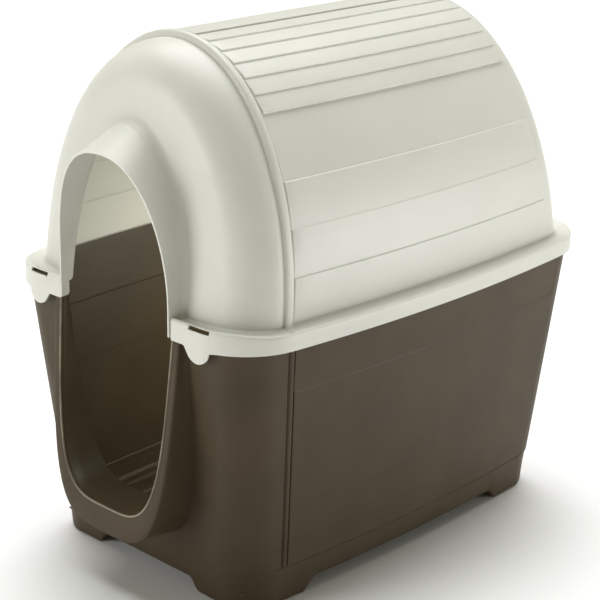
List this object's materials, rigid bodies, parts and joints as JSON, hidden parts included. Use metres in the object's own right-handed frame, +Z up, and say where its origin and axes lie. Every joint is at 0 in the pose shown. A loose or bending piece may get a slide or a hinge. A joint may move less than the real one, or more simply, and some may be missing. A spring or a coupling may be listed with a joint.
{
  "type": "plastic dog kennel",
  "caption": "Moulded plastic kennel: a barrel-vaulted roof with a peaked hood over an arched doorway lifts off a tapered tub with a porch collar, foot pads, rear vent and floor drain.",
  "frame": {"origin": "on the ground under the middle of the whole kennel's bounding box, porch included", "axes": "+Z up, -Y out of the doorway, +X to the right of somebody who looks at the doorway"},
  "size_m": [0.572, 0.826, 0.818],
  "materials": {
    "tub_plastic": "fine moulded grain, dark brown",
    "roof_plastic": "satin moulded, pale warm grey-green",
    "trim_plastic": "satin moulded, dark brown"
  },
  "bodies": {
    "base": {"base_tub": "tub_plastic"},
    "roof": {"roof_shell": "roof_plastic", "vent_grille": "trim_plastic"},
    "shutter": {"vent_shutter": "trim_plastic"},
    "plug": {"drain_plug": "trim_plastic"}
  },
  "joints": [
    {"name": "roof_lift", "type": "slide", "parent": "base", "child": "roof", "axis": [0, 0, 1], "range_m": [0, 0.48]},
    {"name": "vent_slide", "type": "slide", "parent": "roof", "child": "shutter", "axis": [1, 0, 0], "range_m": [0, 0.009]},
    {"name": "drain_pull", "type": "slide", "parent": "base", "child": "plug", "axis": [0, 0, 1], "range_m": [0, 0.06]}
  ]
}
